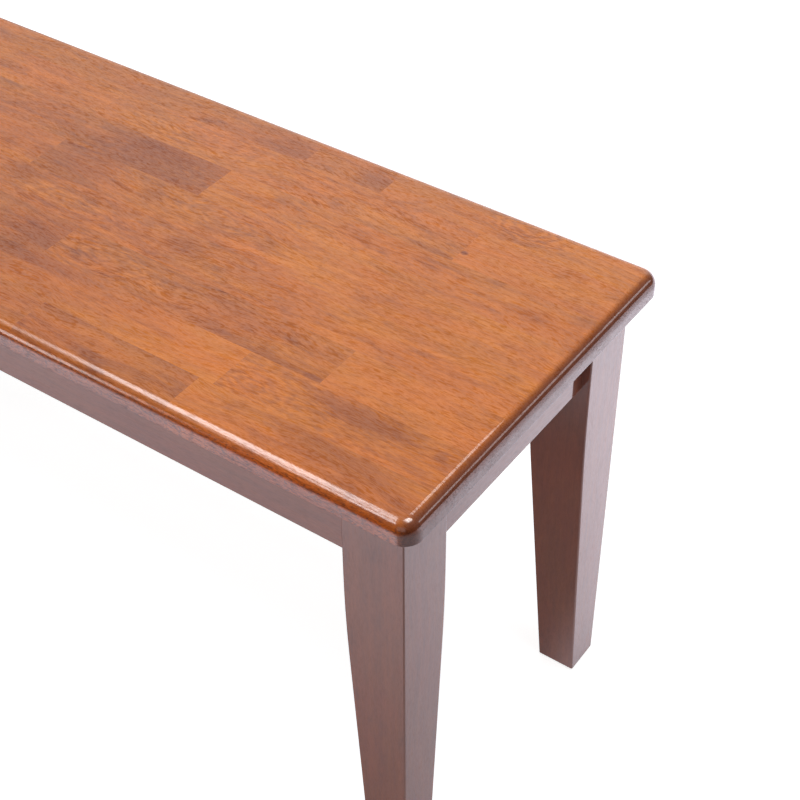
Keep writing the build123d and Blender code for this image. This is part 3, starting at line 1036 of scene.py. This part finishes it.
class BenchStage(bpy.types.PropertyGroup):
    """The studio round the bench."""

    floor_size: FloatProperty(name="Floor size", description="Side of the pale floor", default=16.0, unit="LENGTH")
    key_power: FloatProperty(name="Key power", description="Power of the box over the left end", default=23.0)
    wing_power: FloatProperty(name="Wing power", description="Power of the dim box beside the key", default=2.0)
    front_power: FloatProperty(name="Front power", description="Power of the box high at the front", default=10.8)
    top_power: FloatProperty(name="Top power", description="Power of the box over the right end", default=24.0)
    back_power: FloatProperty(name="Back power", description="Power of the small box behind", default=2.4)
    left_power: FloatProperty(name="Left power", description="Power of the low card at the front left", default=15.5)
    right_power: FloatProperty(name="Right power", description="Power of the card at the back right", default=4.6)
    fill_power: FloatProperty(name="Fill power", description="Power of the dim box at the front right", default=7.0)
    front_sky: FloatProperty(name="Front sky", description="Brightness of the room in front of the bench", default=0.03)
    back_sky: FloatProperty(name="Back sky", description="Brightness of the wall behind the bench", default=0.95)
    high_sky: FloatProperty(name="High sky", description="Brightness high up behind the bench", default=0.40)
    left_sky: FloatProperty(name="Left sky", description="Share of the wall's light at the left", default=0.65)
    right_sky: FloatProperty(name="Right sky", description="Share of the wall's light at the right", default=0.16)
    camera_place: FloatVectorProperty(
        name="Camera place", description="Camera's place from the floor under the bench's middle",
        default=(0.93124, -0.80257, 1.25146), subtype="TRANSLATION", unit="LENGTH")
    camera_turn: FloatProperty(
        name="Camera turn", description="Turn of the camera to the left of straight back",
        default=math.radians(35.352), unit="ROTATION")
    camera_tilt: FloatProperty(
        name="Camera tilt", description="Tilt of the camera below level", default=math.radians(41.546), unit="ROTATION")
    camera_roll: FloatProperty(
        name="Camera roll", description="Roll of the camera about its own axis",
        default=math.radians(-0.406), unit="ROTATION")
    camera_lens: FloatProperty(name="Camera lens", description="Focal length in mm on a 36 mm sensor", default=74.217)


def studio():
    return bpy.context.scene.bench_stage


def seen_by_camera(tree):
    """1 where the camera sees a surface straight or through glass, and the light path's other outputs."""
    rays = add(tree, "ShaderNodeLightPath").outputs
    return maths("MAXIMUM", rays["Is Camera Ray"], rays["Is Transmission Ray"]), rays


def floor_material():
    """White paper under the bench on a darker floor; the camera sees white, with the bench's shadow, and reflections
    see a painted glow.
    """
    material, tree, shader = new_material("pale_floor")
    seen, rays = seen_by_camera(tree)
    where = add(tree, "ShaderNodeTexCoord").outputs["Object"]
    parts = separate(where)
    paper = times(band(parts["Y"], -1.60, -0.60), band(parts["X"], -1.90, -1.20))

    # What the lacquer mirrors is painted light: a glow on the paper that only reflections see, with painted shade near
    # the feet and under the seat, and a painted pool at the right that brightens towards the back.
    # Beside is how far outside the seat's outline a place lies
    outside = [minus(maths("ABSOLUTE", parts[axis]), half) for axis, half in (("X", 0.495), ("Y", 0.177))]
    beside = maths("MAXIMUM", *outside)
    right = band(parts["X"], 0.42, 0.50)
    painted_glow_towards_back = band(parts["Y"], -0.25, 0.65, 0.35, 1.72)
    front = plus(band(beside, -0.02, 0.40, 0.15, 1.0), band(beside, 0.27, 0.40, 0.0, 0.6))
    level = times_plus(right, minus(painted_glow_towards_back, front), front)
    painted_mirror_glow = times(times(level, paper), rays["Is Glossy Ray"])

    albedo = blend_colours(paper, (0.12, 0.12, 0.12, 1.0), (0.34, 0.33, 0.35, 1.0))
    white = times(seen, band(vector_maths("LENGTH", where), 0.5, 1.6, 0.84, 0.92))
    # Emission: even white for the camera, plus the painted glow that only reflections see
    feed_all(shader, {
        "Base Color": blend_colours(seen, albedo, (0.50, 0.50, 0.50, 1.0)),
        "Roughness": 1.0,
        "Specular IOR Level": 0.0,
        "Emission Color": blend_colours(seen, (0.98, 0.94, 1.06, 1.0), (1.0, 1.0, 1.0, 1.0)),
        "Emission Strength": plus(white, painted_mirror_glow),
    })
    return material


def add_soft_box(name, place, size, power, colour, aim=None):
    """A soft box that hangs level, or is turned to its aim."""
    deselect()
    bpy.ops.object.light_add(type="AREA", location=place)
    lamp = bpy.context.object
    lamp.name = name
    lamp.data.shape = "RECTANGLE"
    lamp.data.size, lamp.data.size_y = size
    lamp.data.energy = power
    lamp.data.color = colour
    if aim:
        lamp.rotation_euler = (Vector(aim) - Vector(place)).to_track_quat("-Z", "Y").to_euler()


def light_world():
    """The room: dim in front of the bench, lighter behind it, and white where the camera sees it."""
    world = bpy.data.worlds.new("soft_room")
    bpy.context.scene.world = world
    world.use_nodes = True
    tree = world.node_tree
    seen, _ = seen_by_camera(tree)
    parts = separate(add(tree, "ShaderNodeTexCoord").outputs["Generated"])
    behind = band(parts["Z"], 0.45, 0.80, studio().back_sky, studio().high_sky)
    behind = times(behind, band(parts["X"], -0.10, 0.25, 1.0, studio().right_sky))
    behind = times(behind, band(parts["X"], -0.78, -0.48, studio().left_sky, 1.0))
    level = band(parts["Y"], -0.2, 0.35, studio().front_sky, behind)
    grey = add(tree, "ShaderNodeCombineColor")
    feed_all(grey, {"Red": level, "Green": level, "Blue": level})
    shown = blend_colours(seen, grey.outputs[0], (1.0, 1.0, 1.0, 1.0))
    feed_all(tree.nodes["Background"], {"Color": shown, "Strength": 1.0})


def place_camera():
    deselect()
    bpy.ops.object.camera_add(location=studio().camera_place)
    camera = bpy.context.object
    camera.name = "photo_camera"
    turn = Matrix.Rotation(studio().camera_turn, 4, "Z")
    tilt = Matrix.Rotation(math.radians(90) - studio().camera_tilt, 4, "X")
    roll = Matrix.Rotation(studio().camera_roll, 4, "Z")
    camera.rotation_mode = "QUATERNION"
    camera.rotation_quaternion = (turn @ tilt @ roll).to_quaternion()
    camera.data.sensor_width = 36.0
    camera.data.lens = studio().camera_lens
    camera.data.clip_start = 0.05
    bpy.context.scene.camera = camera


class BENCH_OT_stage(bpy.types.Operator):
    """Add the pale floor, the soft boxes, the room's light and the camera"""

    bl_idname = "bench.stage"
    bl_label = "Floor, lights and camera"

    def execute(self, context):
        floor = primitive(bpy.ops.mesh.primitive_plane_add, "pale_floor", size=studio().floor_size, location=(0, 0, 0))
        floor.data.materials.append(floor_material())
        for name, place, size, power, colour, aim in (
            ("key_box", (-0.80, -0.60, 2.40), (0.85, 1.16), studio().key_power, (0.98, 0.98, 1.0), None),
            ("key_wing", (-1.42, -0.50, 2.40), (0.38, 0.8), studio().wing_power, (1.0, 0.98, 0.96), None),
            ("front_box", (-0.78, -1.85, 2.40), (0.5, 0.9), studio().front_power, (0.98, 0.98, 1.0), None),
            ("top_box", (0.95, 0.05, 2.45), (0.9, 0.9), studio().top_power, (1.0, 1.0, 1.0), None),
            ("back_box", (0.16, 1.36, 2.40), (0.62, 0.40), studio().back_power, (1.0, 1.0, 1.0), None),
            ("left_card", (-2.10, -2.58, 0.93), (1.1, 0.95), studio().left_power, (1.0, 0.98, 0.97),
             (0.15, -0.17, 0.457)),
            ("right_card", (2.65, 1.98, 1.62), (1.3, 0.5), studio().right_power, (0.97, 0.95, 1.0), (0.495, 0.0, 0.45)),
            ("fill_box", (1.30, -3.0, 1.6), (2.4, 1.6), studio().fill_power, (1.0, 1.0, 1.0), (0.0, 0.0, 0.4)),
        ):
            add_soft_box(name, place, size, power, colour, aim)
        light_world()
        place_camera()
        bpy.context.scene.view_settings.view_transform = "Standard"
        return {"FINISHED"}


OPERATORS = (BENCH_OT_seat, BENCH_OT_legs, BENCH_OT_frame, BENCH_OT_fasteners, BENCH_OT_stage)


class BENCH_PT_panel(bpy.types.Panel):
    """The bench's operators and settings"""

    bl_idname = "BENCH_PT_panel"
    bl_label = "Backless dining bench"
    bl_space_type = "VIEW_3D"
    bl_region_type = "UI"
    bl_category = "Bench"

    def draw(self, context):
        for operator in OPERATORS:
            self.layout.operator(operator.bl_idname)
        scene = context.scene
        for group in (scene.bench_sizes, scene.bench_colours, scene.bench_stage):
            for key in group.bl_rna.properties.keys():
                if key not in ("rna_type", "name"):
                    self.layout.prop(group, key)


CLASSES = (BenchSizes, BenchColours, BenchStage) + OPERATORS + (BENCH_PT_panel,)


def register():
    for item in CLASSES:
        bpy.utils.register_class(item)
    bpy.types.Scene.bench_sizes = PointerProperty(type=BenchSizes)
    bpy.types.Scene.bench_colours = PointerProperty(type=BenchColours)
    bpy.types.Scene.bench_stage = PointerProperty(type=BenchStage)


def unregister():
    del bpy.types.Scene.bench_stage
    del bpy.types.Scene.bench_colours
    del bpy.types.Scene.bench_sizes
    for item in reversed(CLASSES):
        bpy.utils.unregister_class(item)


def main():
    register()
    for build in (make_grain_group, make_mark_group, make_curl_group, make_faces_group, make_stain_group,
                  make_wear_and_highlight_group, make_metal_group):
        build()
    bpy.ops.bench.seat()
    bpy.ops.bench.legs()
    bpy.ops.bench.frame()
    bpy.ops.bench.fasteners()
    bpy.ops.bench.stage()


if __name__ == "__main__":
    main()
